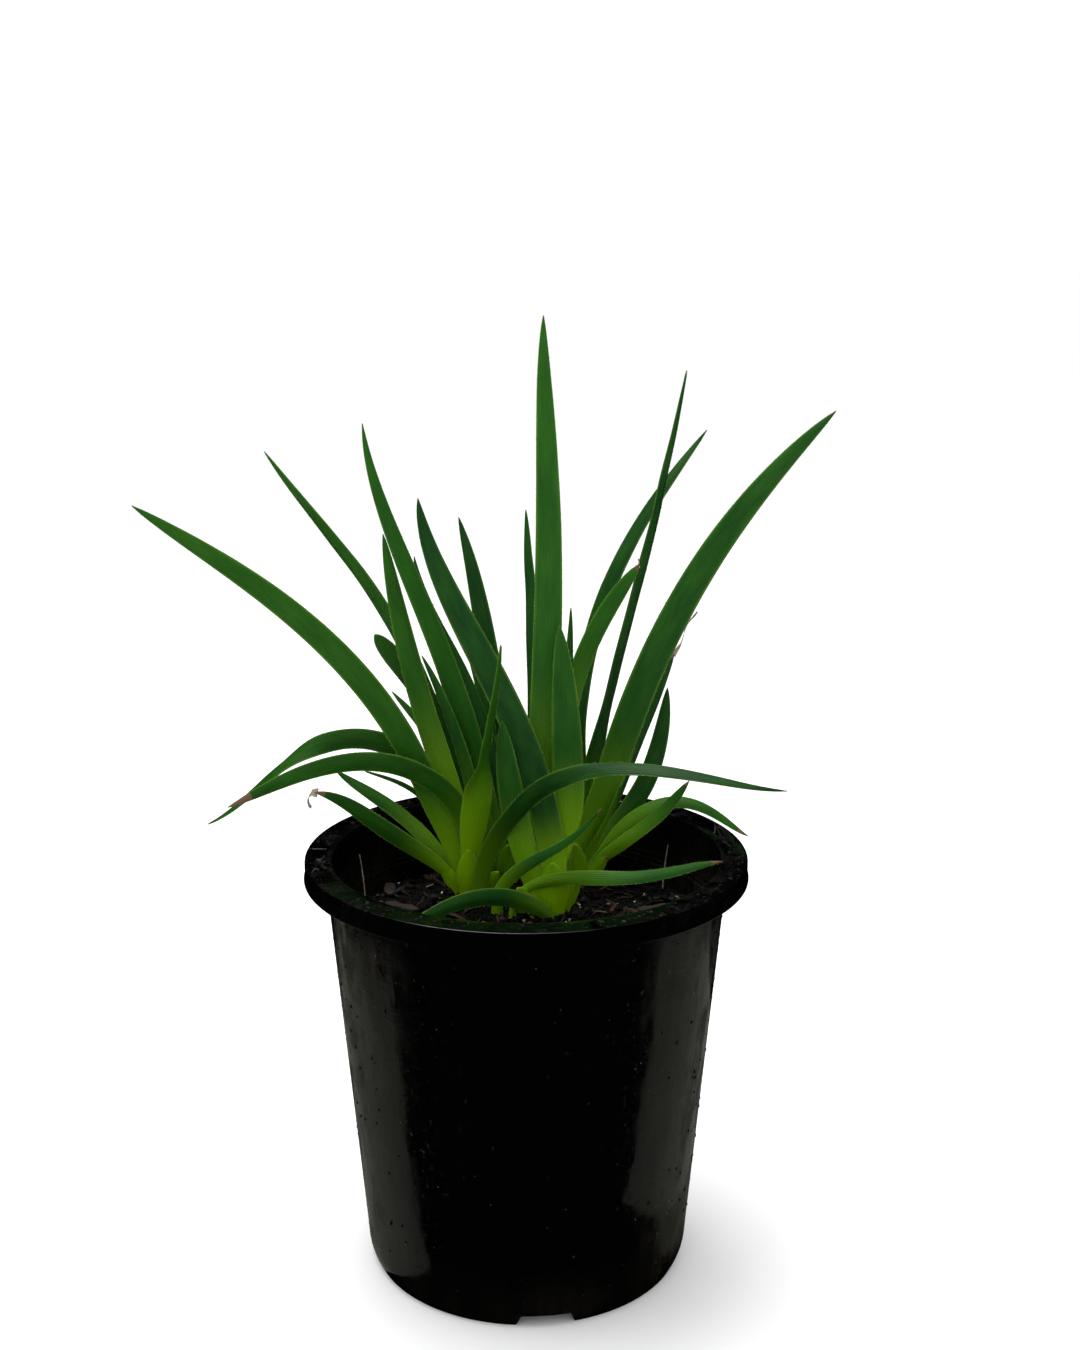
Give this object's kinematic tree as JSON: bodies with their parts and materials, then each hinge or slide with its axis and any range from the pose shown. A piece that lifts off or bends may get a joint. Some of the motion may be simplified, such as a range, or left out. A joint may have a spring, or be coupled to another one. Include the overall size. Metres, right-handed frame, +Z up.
{
  "type": "potted kangaroo paw plant",
  "caption": "Strap-leaved kangaroo paw plant without flowers in a tapered black plastic nursery pot, with potting mix, standing upright on its foot.",
  "frame": {"origin": "on the pot's axis, in the plane of its underside, at the centre of the support pad under the floor", "axes": "+Z up along the pot's axis, -Y towards the viewer's side that the shoots face, +X to the viewer's right"},
  "size_m": [0.3115, 0.2, 0.4329],
  "materials": {
    "pot_plastic": "glossy black moulded polypropylene with fine scratches and dried splashes",
    "potting_mix": "damp, near-black composted bark with brown flecks",
    "rhizome": "pale yellow-green clasped leaf bases, satin",
    "leaf_left": "satin green leaf, paler at the foot, with fine parallel veins",
    "leaf_back": "satin dark blue-green leaf with fine parallel veins",
    "leaf_centre": "satin lime to mid green leaf with fine parallel veins",
    "leaf_right": "satin green leaf, some tips dry and brown",
    "bark": "rough split bark",
    "straw": "dry pale stalk"
  },
  "bodies": {
    "root": {"bark_chip_1": "bark", "bark_chip_2": "bark", "bark_chip_3": "bark", "bark_chip_4": "bark", "bark_chip_5": "bark", "bark_chip_6": "bark", "leaf_back_1": "leaf_back", "leaf_back_2": "leaf_back", "leaf_back_3": "leaf_back", "leaf_back_4": "leaf_back", "leaf_back_5": "leaf_back", "leaf_back_6": "leaf_back", "leaf_centre_1": "leaf_centre", "leaf_centre_2": "leaf_centre", "leaf_centre_3": "leaf_centre", "leaf_centre_4": "leaf_centre", "leaf_centre_5": "leaf_centre", "leaf_centre_6": "leaf_centre", "leaf_centre_7": "leaf_centre", "leaf_centre_8": "leaf_centre", "leaf_left_1": "leaf_left", "leaf_left_10": "leaf_left", "leaf_left_11": "leaf_left", "leaf_left_12": "leaf_left", "leaf_left_2": "leaf_left", "leaf_left_3": "leaf_left", "leaf_left_4": "leaf_left", "leaf_left_5": "leaf_left", "leaf_left_6": "leaf_left", "leaf_left_7": "leaf_left", "leaf_left_8": "leaf_left", "leaf_left_9": "leaf_left", "leaf_right_1": "leaf_right", "leaf_right_2": "leaf_right", "leaf_right_3": "leaf_right", "leaf_right_4": "leaf_right", "leaf_right_5": "leaf_right", "leaf_right_6": "leaf_right", "leaf_right_7": "leaf_right", "leaf_right_8": "leaf_right", "leaf_right_9": "leaf_right", "pot": "pot_plastic", "potting_mix": "potting_mix", "rhizome": "rhizome", "straw_1": "straw", "straw_2": "straw"}
  },
  "joints": []
}
